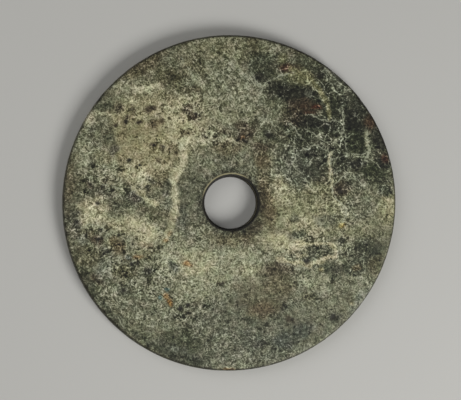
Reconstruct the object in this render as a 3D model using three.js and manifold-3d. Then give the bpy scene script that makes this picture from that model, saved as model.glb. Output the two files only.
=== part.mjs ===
// A plain bi: a flat ring of mottled nephrite with one drilled hole, lying on its back face.
// Millimetres, +Z up. The origin is the middle of the underside, on the axis of the hole.
// The upper face is very slightly domed, both arrises of the rim are rubbed round, and the
// hole was drilled in two steps, which left a narrow ledge inside it.
import * as THREE from "three";
import { mergeVertices } from "three/addons/utils/BufferGeometryUtils.js";
import Module from "manifold-3d";

const wasm = await Module();
wasm.setup();

// The ring
const DISC_DIAMETER = 230; // mean of the long and the short diameter
const OUT_OF_ROUND = 1.6; // long diameter less the short one
const LONG_AXIS_DEG = 61; // where the long diameter points, anticlockwise from +X
const THICKNESS = 12; // at the hole
const DOME_FALL = 0.9; // how much thinner the ring is where the face meets the rim
const FRONT_ARRIS = 2.2; // rounding between the upper face and the rim
const BACK_ARRIS = 1.8; // rounding between the underside and the rim
const RIM_BULGE = 0.5; // how far the middle of the rim stands out

// The hole
const MOUTH_DIAMETER = 38.3; // of the upper drilling where it meets its lip
const LEDGE_DIAMETER = 37.5; // of the upper drilling where it ends
const LEDGE_DEPTH = 7.2; // from the upper face down to the ledge
const LOWER_DIAMETER = 36.3; // of the lower drilling at the ledge
const WAIST_DIAMETER = 35.3; // the narrowest place
const WAIST_HEIGHT = 1.5; // of the narrowest place above the underside
const BACK_DIAMETER = 36.8; // where the drill broke out of the underside
const LIP = 0.45; // bevel round the mouth

// The worn place on the lip, a shallow dish
const WEAR_DEG = -42;
const WEAR_LENGTH = 20;
const WEAR_WIDTH = 8;
const WEAR_DEPTH = 0.6;

// Old losses along the front arris: the middle's direction, the chord, how far in each one
// reaches, and how much its hollow leans up, so that the lower edge of the rim is left
const CHIPS = [
  { deg: 49.5, chord: 20, inward: 2.2, lean: 32 },
  { deg: 139.5, chord: 11, inward: 2.2, lean: 30 },
  { deg: 37, chord: 7, inward: 1.4, lean: 36 },
  { deg: 303, chord: 8, inward: 0.9, lean: 40 },
  { deg: 171, chord: 6, inward: 0.8, lean: 40 },
];

// Fineness of the faceted surfaces
const RING_STEPS = 144;
const HOLE_STEPS = 96;
const DOME_STEPS = 4;
const ARRIS_STEPS = 4;
const HOLLOW_STEPS = 64;

const JADE = new THREE.MeshStandardMaterial({
  name: "mottled_jade",
  color: 0x6c6c57,
  roughness: 0.5,
  metalness: 0,
});

const rimRadius = DISC_DIAMETER / 2;
const rimTop = THICKNESS - DOME_FALL;
const radians = THREE.MathUtils.degToRad;

// A closed geometry as a solid that can be cut.
function solid(geometry) {
  geometry.deleteAttribute("normal");
  geometry.deleteAttribute("uv");
  const merged = mergeVertices(geometry, 1e-4);
  return new wasm.Manifold(
    new wasm.Mesh({
      numProp: 3,
      vertProperties: merged.attributes.position.array,
      triVerts: new Uint32Array(merged.index.array),
    }),
  );
}

// A profile of [radius, height] pairs turned round the Z axis.
function turned(profile, steps) {
  const points = profile.map(([radius, height]) => new THREE.Vector2(radius, height));
  return new THREE.LatheGeometry(points, steps).rotateX(Math.PI / 2);
}

// Points of a quarter-round between two directions, as [radius, height] pairs.
function arc(centreRadius, centreHeight, size, fromDeg, toDeg) {
  return Array.from({ length: ARRIS_STEPS + 1 }, (_, i) => {
    const angle = radians(fromDeg + ((toDeg - fromDeg) * i) / ARRIS_STEPS);
    return [
      centreRadius + size * Math.cos(angle),
      centreHeight + size * Math.sin(angle),
    ];
  });
}

// The blank before drilling: underside, rim and domed upper face, slightly out of round.
function blank() {
  const edge = rimRadius - RIM_BULGE;
  const faceRadius = edge - FRONT_ARRIS;
  const flatRadius = MOUTH_DIAMETER / 2 + LIP;
  const dome = Array.from({ length: DOME_STEPS }, (_, i) => {
    const share = 1 - (i + 1) / DOME_STEPS;
    return [
      flatRadius + (faceRadius - flatRadius) * share,
      rimTop + DOME_FALL * (1 - share * share),
    ];
  });
  const middle = (BACK_ARRIS + rimTop - FRONT_ARRIS) / 2;
  const profile = [
    [0, 0],
    ...arc(edge - BACK_ARRIS, BACK_ARRIS, BACK_ARRIS, -90, 0),
    [rimRadius, middle],
    ...arc(faceRadius, rimTop - FRONT_ARRIS, FRONT_ARRIS, 0, 90),
    ...dome,
    [0, THICKNESS],
  ];
  const stretch = OUT_OF_ROUND / 2 / DISC_DIAMETER;
  const geometry = turned(profile, RING_STEPS)
    .scale(1 + stretch, 1 - stretch, 1)
    .rotateZ(radians(LONG_AXIS_DEG));
  return solid(geometry);
}

// What the drills took away, from above the upper face to below the underside.
function drilling() {
  const past = LIP + WAIST_HEIGHT;
  const breakOut = (BACK_DIAMETER - WAIST_DIAMETER) / 2 / WAIST_HEIGHT;
  const profile = [
    [0, -past],
    [BACK_DIAMETER / 2 + breakOut * past, -past],
    [WAIST_DIAMETER / 2, WAIST_HEIGHT],
    [LOWER_DIAMETER / 2, THICKNESS - LEDGE_DEPTH],
    [LEDGE_DIAMETER / 2, THICKNESS - LEDGE_DEPTH],
    [MOUTH_DIAMETER / 2, THICKNESS - LIP],
    [MOUTH_DIAMETER / 2 + LIP + past, THICKNESS + past],
    [0, THICKNESS + past],
  ];
  return solid(turned(profile, HOLE_STEPS));
}

// A round hollow that leaves a chord of the given length and depth.
function hollowRadius(chord, depth) {
  return (chord * chord) / (8 * depth) + depth / 2;
}

// One loss along the front arris, scooped by a ball that leans up over the rim.
function chip({ deg, chord, inward, lean }) {
  const size = hollowRadius(chord, inward);
  const out = rimRadius - inward + size * Math.cos(radians(lean));
  const up = rimTop - FRONT_ARRIS + size * Math.sin(radians(lean));
  const geometry = new THREE.SphereGeometry(size, HOLLOW_STEPS, HOLLOW_STEPS / 2)
    .translate(out, 0, up)
    .rotateZ(radians(deg));
  return solid(geometry);
}

// The dish that handling or a cord wore into the lip of the hole.
function lipWear() {
  const width = hollowRadius(WEAR_WIDTH, WEAR_DEPTH);
  const length = (width * WEAR_LENGTH) / WEAR_WIDTH;
  const geometry = new THREE.SphereGeometry(1, HOLLOW_STEPS, HOLLOW_STEPS / 2)
    .scale(width, length, width)
    .translate(MOUTH_DIAMETER / 2, 0, THICKNESS - WEAR_DEPTH + width)
    .rotateZ(radians(WEAR_DEG));
  return solid(geometry);
}

// A finished solid as a mesh with its own name.
function mesh(name, shape, material) {
  const { vertProperties, triVerts } = shape.getMesh();
  const geometry = new THREE.BufferGeometry();
  geometry.setAttribute("position", new THREE.BufferAttribute(vertProperties, 3));
  geometry.setIndex(new THREE.BufferAttribute(triVerts, 1));
  geometry.computeVertexNormals();
  const made = new THREE.Mesh(geometry, material);
  made.name = name;
  return made;
}

let ring = blank().subtract(drilling()).subtract(lipWear());
for (const loss of CHIPS) {
  ring = ring.subtract(chip(loss));
}

const bi = new THREE.Group();
bi.name = "bi_disc";
bi.add(mesh("jade_disc", ring, JADE));
export default bi;
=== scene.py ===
"""A plain jade bi, a flat ring of mottled nephrite, lying on its back face.

The ring is spun from its profile, then worn, pitted and chipped. The stone's clouds, veins,
stains and pits are laid on the mesh as attributes, and the nephrite finish reads them and adds
what is finer than the mesh. The stone, the ring and the finish are given in millimetres; the
studio and the finished meshes are in metres.
"""

import logging
import math
from dataclasses import dataclass, field
from enum import Enum
from typing import Any

import bmesh
import bpy
import numpy as np
from mathutils import Euler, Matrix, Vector, noise

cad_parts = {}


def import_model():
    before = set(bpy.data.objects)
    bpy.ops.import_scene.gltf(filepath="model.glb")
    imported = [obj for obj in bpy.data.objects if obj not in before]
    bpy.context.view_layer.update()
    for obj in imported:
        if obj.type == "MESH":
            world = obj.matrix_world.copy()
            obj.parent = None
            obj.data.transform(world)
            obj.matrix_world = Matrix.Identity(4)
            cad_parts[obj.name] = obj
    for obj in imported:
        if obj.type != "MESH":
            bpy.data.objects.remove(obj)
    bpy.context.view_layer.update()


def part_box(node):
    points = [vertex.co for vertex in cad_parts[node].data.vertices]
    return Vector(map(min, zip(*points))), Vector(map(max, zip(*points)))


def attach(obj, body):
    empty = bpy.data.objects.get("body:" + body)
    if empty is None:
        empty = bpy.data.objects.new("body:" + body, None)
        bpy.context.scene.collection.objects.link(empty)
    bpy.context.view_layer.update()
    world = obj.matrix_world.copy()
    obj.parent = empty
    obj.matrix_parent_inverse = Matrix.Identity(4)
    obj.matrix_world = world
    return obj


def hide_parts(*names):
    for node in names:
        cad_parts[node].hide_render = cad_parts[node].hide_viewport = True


LOG = logging.getLogger("bi")
MM = 0.001  # metres in a millimetre
NODE = "jade_disc"
SOFT_EDGE = 0.5  # how wide the edge of a patch is, as a share of its half-size
RIM_MIDDLE = 0.45  # height of the rim's widest part, as a share of the thickness
OUT_OF_SIGHT = 20.0  # half-widths from a thread past which nothing changes
TINY = 1e-6  # keeps a share of nothing from dividing by 0
NOISE_MIDDLE = 0.5  # what a noise texture gives on average
NOISE_SEED = 7  # any whole number but 0, for which Blender takes the clock
DRIFT_WAY = (1.0, 2.3, -1.7)  # which way the parts of the noise that drift uses lie
RUMPLE_WAY = (1.0, -1.3, 2.1)  # and those that rumple uses
DOUBLING = 2.0  # one stop more light is this many times as much

Pair = tuple[float, float]  # the two ends of a range
Waves = tuple[tuple[float, ...], ...]  # layers of a pattern, each with its few numbers


def srgb(hex_value: str) -> np.ndarray:
    """Splits an sRGB hex value into red, green and blue from 0 to 1.

    Args:
        hex_value: Six hex digits.

    Returns:
        The three sRGB values.
    """
    return np.array([int(hex_value[i : i + 2], 16) / 255 for i in (0, 2, 4)])


def linear(values: np.ndarray) -> np.ndarray:
    """Turns sRGB values into the linear light that shaders use.

    Args:
        values: sRGB values from 0 to 1, in any shape.

    Returns:
        Linear values in the same shape.
    """
    low = values / 12.92
    high = ((np.maximum(values, 0.04045) + 0.055) / 1.055) ** 2.4
    return np.where(values <= 0.04045, low, high)


def rgba(hex_value: str) -> tuple[float, float, float, float]:
    """Returns an sRGB hex value as an opaque linear colour for a socket."""
    return (*(float(v) for v in linear(srgb(hex_value))), 1.0)


def per_mm(size: float) -> float:
    """Returns the texture scale that gives a pattern one cell per size in millimetres."""
    return 1 / (size * MM)


def smooth(values: np.ndarray, start: float, end: float) -> np.ndarray:
    """Eases values from 0 at start to 1 at end.

    Args:
        values: What is eased.
        start: Where the result is 0.
        end: Where the result is 1; it may be less than start.

    Returns:
        The eased values.
    """
    share = np.clip((values - start) / (end - start), 0, 1)
    return share * share * (3 - 2 * share)


def drift(points: np.ndarray, waves: Waves) -> np.ndarray:
    """Moves points by smooth noise, so that shapes read through them get natural edges.

    Args:
        points: Places in millimetres, one a row.
        waves: For each wave the size of the noise's cells, how far it moves a point at most,
            roughly, and which part of the noise is used.

    Returns:
        The moved places.
    """
    for wave, reach, seed in waves:
        offset = Vector([way * seed for way in DRIFT_WAY])
        moved = [noise.noise_vector(Vector(place) / wave + offset) for place in points]
        points = points + reach * np.array(moved)
    return points


def rumple(points: np.ndarray, wave: float, octaves: int, seed: float) -> np.ndarray:
    """Reads smooth noise at points.

    Args:
        points: Places in millimetres, one a row.
        wave: Size of the noise's largest cells.
        octaves: How many finer layers it has.
        seed: Which part of the noise is used.

    Returns:
        One value for each point, about -1 to 1.
    """
    offset = Vector([way * seed for way in RUMPLE_WAY])
    return np.array(
        [noise.fractal(Vector(place) / wave + offset, 1.0, 2.0, octaves) for place in points]
    )


class Tone(Enum):
    """Colours that the stone has over an area, as sRGB hex values."""

    GROUND = "707056"
    GREY_GREEN = "7a7c62"
    PALE_GREEN = "949576"
    CREAM = "aea984"
    TAN = "968f68"
    STRAW = "8c8a62"
    OLIVE = "545238"
    BROWN = "5e563c"
    EARTH = "3c3424"
    DEEP_GREEN = "383b2a"
    NIGHT = "28291e"
    MOSS = "323722"
    TEAL = "3e4439"
    SLATE = "585b4a"
    PLUM = "524f40"
    ASH = "828570"
    RUST = "86602c"
    RED = "5c2e19"
    OCHRE = "a08c48"
    UMBER = "66583a"
    FAWN = "948e6c"
    IVORY = "c0bc98"
    VERDIGRIS = "3c5a54"


@dataclass(frozen=True)
class Patch:
    """An area with soft edges: its middle, half-sizes, turn in degrees and strength."""

    x: float
    y: float
    long: float
    short: float
    turn: float
    strength: float

    def weight(self, points: np.ndarray) -> np.ndarray:
        """Says how much of the patch each point has.

        Args:
            points: Places in millimetres, one a row.

        Returns:
            Weights from 0 to the patch's strength.
        """
        turn = math.radians(self.turn)
        away = points[:, :2] - (self.x, self.y)
        along = (away @ (math.cos(turn), math.sin(turn))) / self.long
        across = (away @ (-math.sin(turn), math.cos(turn))) / self.short
        return self.strength * smooth(np.hypot(along, across), 1 + SOFT_EDGE, 1 - SOFT_EDGE)


@dataclass(frozen=True)
class Cloud(Patch):
    """A patch that has a tone of its own."""

    tone: Tone


@dataclass(frozen=True)
class Vein:
    """A line in the stone: its points in order, its half-width, tone and strength."""

    points: tuple[tuple[float, float], ...]
    half_width: float
    tone: Tone = Tone.CREAM
    strength: float = 0.8

    def distances(self, places: np.ndarray) -> tuple[np.ndarray, np.ndarray]:
        """Measures how far places lie from the line.

        Args:
            places: Places in millimetres, one a row.

        Returns:
            The distance to the line, and the same with a sign for the side it lies on.
        """
        near = np.full(len(places), np.inf)
        side = np.full(len(places), np.inf)
        for start, end in zip(self.points, self.points[1:]):
            along = np.subtract(end, start)
            away = places[:, :2] - start
            share = np.clip(away @ along / (along @ along), 0, 1)
            gap = np.hypot(*(away - share[:, None] * along).T)
            sign = np.sign(along[0] * away[:, 1] - along[1] * away[:, 0])
            closer = gap < near
            near = np.where(closer, gap, near)
            side = np.where(closer, gap * sign, side)
        return near, side


@dataclass(frozen=True)
class Chip:
    """A loss along the front arris: direction, chord, how far in it reaches, and its lean."""

    deg: float
    chord: float
    inward: float
    lean: float


@dataclass
class Stone:
    """The nephrite itself: the natural markings that run through the slab, with some painted shade on
    its face.
    """

    slant: Pair = (0.7, -0.5)  # how far markings shift with each mm of depth
    plainer_back: float = 0.45  # share of their strength that they lose on the hidden side
    clouds: tuple[Cloud, ...] = (
        # Broad grounds
        Cloud(-58, 46, 32, 30, 20, 0.85, Tone.TAN),
        Cloud(-28, 60, 24, 16, 5, 0.6, Tone.FAWN),
        Cloud(-2, 80, 30, 24, 0, 0.42, Tone.GREY_GREEN),
        Cloud(66, 60, 44, 32, -38, 0.85, Tone.DEEP_GREEN),
        Cloud(60, -6, 44, 20, -5, 0.5, Tone.STRAW),
        Cloud(-60, -58, 34, 24, -35, 0.6, Tone.GREY_GREEN),
        Cloud(-8, -46, 38, 16, 0, 0.65, Tone.PALE_GREEN),
        Cloud(12, -84, 50, 26, 10, 0.5, Tone.SLATE),
        Cloud(70, -54, 34, 22, 20, 0.55, Tone.GREY_GREEN),
        # Round the hole; the brown and earth ones from its right round to below it are partly wear,
        # partly painted shade
        Cloud(-26, 4, 9, 24, 0, 0.4, Tone.SLATE),
        Cloud(-18, 26, 14, 7, -20, 0.45, Tone.GREY_GREEN),
        Cloud(6, 27, 16, 6, 0, 0.35, Tone.SLATE),
        Cloud(24, 2, 6, 18, 10, 1.0, Tone.BROWN),
        Cloud(28, -8, 6, 8, 0, 0.1, Tone.TAN),
        Cloud(2, -25, 16, 5, 0, 0.65, Tone.BROWN),
        Cloud(15, -17, 9, 4.5, 40, 0.6, Tone.EARTH),
        # Top
        Cloud(-5, 105, 24, 8, 0, 0.35, Tone.STRAW),
        Cloud(-18, 84, 9, 7, 0, 0.4, Tone.PALE_GREEN),
        Cloud(-41, 86, 11, 7, 5, 0.95, Tone.OLIVE),
        Cloud(-28, 77, 9, 3, -5, 0.95, Tone.OLIVE),
        Cloud(-24, 92, 10, 5, -35, 0.8, Tone.OLIVE),
        Cloud(-60, 92, 18, 6, 33, 0.85, Tone.BROWN),
        Cloud(-72, 78, 9, 6, 15, 0.5, Tone.PALE_GREEN),
        Cloud(8, 70, 13, 9, 0, 0.35, Tone.PALE_GREEN),
        Cloud(14, 106, 5, 8, 0, 0.6, Tone.OLIVE),
        Cloud(20, 94, 7.5, 10, 15, 0.8, Tone.DEEP_GREEN),
        Cloud(21, 85, 3, 4, 0, 0.85, Tone.NIGHT),
        Cloud(35, 98, 4, 4, 0, 0.6, Tone.STRAW),
        Cloud(22, 55, 5, 3, 0, 0.3, Tone.SLATE),
        # Upper left
        Cloud(-86, 66, 8, 5, 40, 0.65, Tone.DEEP_GREEN),
        Cloud(-77, 65, 2.4, 4.4, -10, 0.6, Tone.EARTH),
        Cloud(-95, 57.5, 8, 4, 10, 1.0, Tone.IVORY),
        Cloud(-88, 46, 10, 11, 0, 0.45, Tone.SLATE),
        Cloud(-83, 43, 4, 2.5, 0, 0.5, Tone.DEEP_GREEN),
        Cloud(-99, 32, 6, 9, 0, 1.0, Tone.PALE_GREEN),
        Cloud(-93, 25, 5, 4, 0, 0.1, Tone.SLATE),
        Cloud(-79, 35, 3, 5, 0, 0.8, Tone.PLUM),
        Cloud(-110, 14, 5, 20, 0, 0.5, Tone.BROWN),
        Cloud(-64, 77, 4, 3, 0, 0.9, Tone.IVORY),
        Cloud(-65.5, 71, 2, 5.2, -10, 1.0, Tone.IVORY),
        Cloud(-55, 77, 7.5, 2.6, 15, 0.8, Tone.IVORY),
        Cloud(-44, 60, 14, 10, -10, 0.6, Tone.CREAM),
        Cloud(-32, 54, 10, 9, 0, 1.0, Tone.CREAM),
        Cloud(-25, 67, 10, 6, 0, 0.2, Tone.CREAM),
        Cloud(-70.5, 55, 1.6, 4.2, 0, 0.8, Tone.EARTH),
        Cloud(-67, 63, 1.6, 3.6, 10, 0.8, Tone.BROWN),
        Cloud(-77, 51, 2.4, 1.8, 0, 1.0, Tone.EARTH),
        Cloud(-54, 62.5, 4, 1.8, 10, 0.9, Tone.EARTH),
        Cloud(-52, 53.5, 2.4, 3, 0, 0.65, Tone.BROWN),
        Cloud(-48, 55, 1.8, 3, 0, 0.6, Tone.EARTH),
        Cloud(-63, 54, 2.4, 2, 0, 1.0, Tone.EARTH),
        Cloud(-54, 41, 2.5, 1.7, 0, 0.9, Tone.EARTH),
        Cloud(-46, 37.5, 2.2, 2.8, 0, 0.6, Tone.EARTH),
        Cloud(-50, 29.5, 1.8, 2.6, 0, 0.55, Tone.EARTH),
        Cloud(-41, 28, 5, 5, 30, 0.35, Tone.BROWN),
        Cloud(-37, 37, 4.5, 5, 0, 0.65, Tone.BROWN),
        Cloud(-31.5, 38.5, 3.4, 7, -14, 0.8, Tone.CREAM),
        Cloud(-31, 47.5, 5, 3.2, 0, 0.7, Tone.BROWN),
        Cloud(-30.5, 63.5, 3.5, 2.5, 0, 0.82, Tone.EARTH),
        Cloud(-23.5, 60, 4.6, 2, -8, 1.0, Tone.EARTH),
        Cloud(-18.5, 46, 1.6, 2, 0, 0.6, Tone.IVORY),
        Cloud(-5, 49, 4.5, 1.6, 0, 0.6, Tone.EARTH),
        # Left
        Cloud(-64, 18, 11, 6, -15, 0.85, Tone.CREAM),
        Cloud(-61, 17, 3.6, 3.4, 0, 1.0, Tone.IVORY),
        Cloud(-82, 20, 8, 7, 0, 1.0, Tone.PALE_GREEN),
        Cloud(-47, 16, 6, 6, 0, 0.6, Tone.BROWN),
        Cloud(-55, 16, 3.4, 2, -20, 0.7, Tone.PLUM),
        Cloud(-57, 11, 1.8, 2.6, 0, 0.85, Tone.NIGHT),
        Cloud(-43, 12, 2.6, 3.6, 0, 0.7, Tone.DEEP_GREEN),
        Cloud(-43, 4, 2.4, 5, 0, 0.6, Tone.SLATE),
        Cloud(-67, 4, 7.5, 7, 0, 0.85, Tone.DEEP_GREEN),
        Cloud(-66, 4, 5, 5, 0, 0.95, Tone.PLUM),
        Cloud(-59, -2, 3.6, 5.5, 0, 0.1, Tone.UMBER),
        Cloud(-76, -2, 3.6, 2, -10, 0.2, Tone.TEAL),
        Cloud(-88, 5, 8, 6, 0, 0.55, Tone.PLUM),
        Cloud(-87, 10.5, 4, 1.8, 0, 0.3, Tone.EARTH),
        Cloud(-95.5, 12, 2.6, 1.8, 0, 0.7, Tone.EARTH),
        Cloud(-84, 15.5, 3, 2.4, 0, 0.6, Tone.EARTH),
        Cloud(-50, -7, 8, 5, 0, 0.5, Tone.OLIVE),
        Cloud(-53, -12, 4, 2, -25, 0.5, Tone.OLIVE),
        Cloud(-34, -9, 4.5, 11, 5, 0.65, Tone.SLATE),
        Cloud(-94, -6, 8, 11, -30, 0.95, Tone.CREAM),
        Cloud(-92, -7, 6, 6, 0, 1.0, Tone.IVORY),
        Cloud(-70, -15, 13, 6, 0, 0.8, Tone.CREAM),
        Cloud(-57, -21, 8, 6.5, -25, 0.95, Tone.CREAM),
        Cloud(-55, -23, 4, 3, 0, 0.6, Tone.IVORY),
        Cloud(-108, -14, 5, 18, 10, 0.5, Tone.PLUM),
        Cloud(-103, -7, 4, 2.4, 0, 0.45, Tone.NIGHT),
        Cloud(-104, -14, 3.2, 4, 0, 0.8, Tone.NIGHT),
        Cloud(-77, -28, 5, 5, 0, 0.7, Tone.UMBER),
        Cloud(-96, -22, 5, 4, 0, 0.75, Tone.OLIVE),
        Cloud(-89.5, -25, 3.6, 4, 0, 1.0, Tone.EARTH),
        Cloud(-84.5, -34, 4.5, 3, -30, 0.35, Tone.NIGHT),
        Cloud(-98, -38, 9, 12, 15, 0.65, Tone.OLIVE),
        Cloud(-99, -26, 5, 3, 0, 0.7, Tone.ASH),
        # Lower left
        Cloud(-74, -46, 9, 4, 0, 1.0, Tone.OLIVE),
        Cloud(-66, -41.5, 4, 2, 5, 0.2, Tone.NIGHT),
        Cloud(-56, -47, 4, 2.4, 0, 0.75, Tone.NIGHT),
        Cloud(-91, -53, 5, 4, 0, 0.7, Tone.EARTH),
        Cloud(-86, -46, 6, 7, 20, 0.75, Tone.ASH),
        Cloud(-72, -60, 5, 3, 0, 0.55, Tone.DEEP_GREEN),
        Cloud(-61, -34, 9, 5, 0, 0.4, Tone.TAN),
        Cloud(-62, -52, 5, 5, 0, 0.3, Tone.GREY_GREEN),
        Cloud(-38, -36, 9, 11, 0, 0.8, Tone.PALE_GREEN),
        Cloud(-24, -42, 11, 8, 0, 0.7, Tone.CREAM),
        Cloud(-39, -44, 3, 5, 25, 1.0, Tone.SLATE),
        Cloud(-28, -60, 13, 6, 10, 0.65, Tone.PALE_GREEN),
        Cloud(-56, -77, 15, 7, -30, 0.45, Tone.GREY_GREEN),
        Cloud(-34, -94, 14, 5.5, -8, 0.6, Tone.MOSS),
        Cloud(-34, -103, 18, 5, -20, 0.9, Tone.SLATE),
        Cloud(-14, -74, 12, 7, 0, 0.1, Tone.SLATE),
        Cloud(-6, -55.5, 3, 1.8, 0, 0.85, Tone.EARTH),
        # Below the hole
        Cloud(0, -38, 18, 6, 0, 0.6, Tone.PALE_GREEN),
        Cloud(12, -47, 10, 6, 0, 0.3, Tone.CREAM),
        Cloud(31, -46, 11, 6, 0, 0.7, Tone.EARTH),
        Cloud(32, -58, 11, 8, 0, 0.65, Tone.BROWN),
        Cloud(12, -62, 10, 8, 0, 0.35, Tone.BROWN),
        Cloud(22, -72, 12, 6, 5, 0.7, Tone.BROWN),
        Cloud(16, -95, 9, 8, 0, 0.7, Tone.SLATE),
        Cloud(21, -97, 4, 3, 0, 0.65, Tone.NIGHT),
        Cloud(37, -95, 8, 6, -10, 0.8, Tone.TEAL),
        Cloud(51, -87, 8, 5, 15, 0.65, Tone.TEAL),
        Cloud(42, -80, 4, 2, -10, 0.7, Tone.EARTH),
        Cloud(36, -73, 3, 2.2, 0, 0.5, Tone.NIGHT),
        Cloud(3, -107, 22, 5, 0, 0.2, Tone.ASH),
        Cloud(28, -105, 8, 3, 15, 0.5, Tone.SLATE),
        Cloud(45, -101, 12, 3, 20, 0.35, Tone.ASH),
        Cloud(70, -86, 14, 4, 42, 0.3, Tone.SLATE),
        # Right
        Cloud(35, 4, 5, 9, -10, 0.35, Tone.CREAM),
        Cloud(33, 13, 5, 5, 0, 0.65, Tone.CREAM),
        Cloud(50, -14, 14, 6, -5, 0.55, Tone.CREAM),
        Cloud(36, -27, 16, 6.5, -10, 0.95, Tone.CREAM),
        Cloud(45, -31, 6, 3, -20, 0.6, Tone.IVORY),
        Cloud(46, -23, 7, 3.4, -10, 0.8, Tone.DEEP_GREEN),
        Cloud(43, -10.5, 3.4, 2.4, -50, 0.62, Tone.DEEP_GREEN),
        Cloud(56, -34, 5, 4.5, 0, 0.6, Tone.DEEP_GREEN),
        Cloud(65, -32.5, 5, 3.5, -20, 0.2, Tone.DEEP_GREEN),
        Cloud(52, -40.5, 4, 2.4, 0, 1.0, Tone.NIGHT),
        Cloud(66, -12, 8, 4.5, 0, 0.55, Tone.SLATE),
        Cloud(75, -27, 3.5, 3, 0, 0.8, Tone.DEEP_GREEN),
        Cloud(95, -33, 11, 7, 10, 0.85, Tone.DEEP_GREEN),
        Cloud(70, -44, 8, 3.5, 0, 0.8, Tone.DEEP_GREEN),
        Cloud(86, -44, 8, 5, 0, 0.85, Tone.DEEP_GREEN),
        Cloud(100, -44, 7, 6, 0, 1.0, Tone.OLIVE),
        Cloud(62, -56, 7, 6, 0, 0.9, Tone.PALE_GREEN),
        Cloud(71, -51, 3, 2.2, 0, 0.7, Tone.DEEP_GREEN),
        Cloud(54, -65.5, 6, 2.6, -10, 0.7, Tone.OLIVE),
        Cloud(71, -79, 4.5, 3.5, 0, 0.6, Tone.NIGHT),
        Cloud(82, -66, 3.5, 3, 0, 0.6, Tone.OLIVE),
        Cloud(90, -68, 5, 13, -30, 0.95, Tone.ASH),
        Cloud(109, -2, 6, 11, 0, 0.9, Tone.STRAW),
        Cloud(109, -3, 3.5, 5, 0, 0.75, Tone.CREAM),
        Cloud(75, 9, 5, 5.5, 0, 0.85, Tone.EARTH),
        Cloud(86, 14, 9, 7, 0, 0.4, Tone.SLATE),
        Cloud(88, -4, 12, 10, 0, 0.5, Tone.SLATE),
        Cloud(107, 8, 5, 6, 0, 0.95, Tone.DEEP_GREEN),
        # Upper right
        Cloud(46, 26, 14, 14, 0, 0.8, Tone.SLATE),
        Cloud(55, 20, 8, 7, 0, 0.45, Tone.NIGHT),
        Cloud(47, 40, 4, 4, 0, 0.65, Tone.DEEP_GREEN),
        Cloud(55, 33, 5, 3, 20, 0.85, Tone.NIGHT),
        Cloud(66, 43, 11, 4, 0, 0.5, Tone.GREY_GREEN),
        Cloud(63, 33, 4, 3, 0, 0.55, Tone.SLATE),
        Cloud(33, 77, 9, 6, 0, 0.68, Tone.NIGHT),
        Cloud(46, 74, 13, 7, -10, 0.68, Tone.NIGHT),
        Cloud(50, 65, 12, 5, 0, 1.0, Tone.EARTH),
        Cloud(43, 58, 8, 6, 0, 0.8, Tone.EARTH),
        Cloud(60, 54, 14, 5, -8, 0.9, Tone.NIGHT),
        Cloud(49, 48, 6, 5, 0, 0.9, Tone.DEEP_GREEN),
        Cloud(48, 87, 12, 5, -25, 0.75, Tone.STRAW),
        Cloud(64, 88, 5, 3, -40, 0.3, Tone.SLATE),
        Cloud(40, 92, 6, 3, 0, 1.0, Tone.EARTH),
        Cloud(62, 86, 3, 2.4, 0, 0.7, Tone.NIGHT),
        Cloud(54.5, 74.5, 2.4, 3.4, 10, 0.6, Tone.ASH),
        Cloud(85, 54, 6.5, 12, 5, 0.95, Tone.NIGHT),
        Cloud(87, 41, 6, 8, 0, 0.9, Tone.MOSS),
        Cloud(74, 79, 13, 4, -45, 0.15, Tone.ASH),
        Cloud(82, 70, 8, 5, -30, 0.5, Tone.SLATE),
        Cloud(91, 66, 5, 9, 30, 0.6, Tone.NIGHT),
        Cloud(98, 56, 5, 6, 0, 0.95, Tone.EARTH),
        Cloud(104, 43, 5, 9, 15, 0.9, Tone.NIGHT),
        Cloud(98, 20, 9, 7, -10, 0.95, Tone.MOSS),
        Cloud(75, 26, 6, 6, 0, 0.75, Tone.DEEP_GREEN),
        Cloud(88, 27, 6, 3, 0, 1.0, Tone.NIGHT),
        Cloud(106, 27, 4.8, 4.8, 0, 1.0, Tone.NIGHT),
        Cloud(107, 14, 5, 6, 0, 0.6, Tone.DEEP_GREEN),
        # Brown patches between the hole and the dark quarter
        Cloud(10, 48, 6.5, 5.5, 10, 0.8, Tone.EARTH),
        Cloud(7.5, 43, 4.5, 3, -30, 0.45, Tone.EARTH),
        Cloud(7, 52, 4, 2.4, 0, 0.7, Tone.EARTH),
        Cloud(25.5, 46, 3.6, 3.4, 0, 0.7, Tone.NIGHT),
        Cloud(22, 38, 6, 3, 0, 0.85, Tone.EARTH),
        Cloud(22, 29, 6, 6, 0, 1.0, Tone.BROWN),
        Cloud(-3, 37, 9, 5, 0, 0.65, Tone.BROWN),
        Cloud(0, 58, 14, 4, 0, 0.12, Tone.FAWN),
        # The greenish grey field over the hole's upper right
        Cloud(32, 62, 8, 8, 0, 0.5, Tone.PALE_GREEN),
    )
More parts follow.
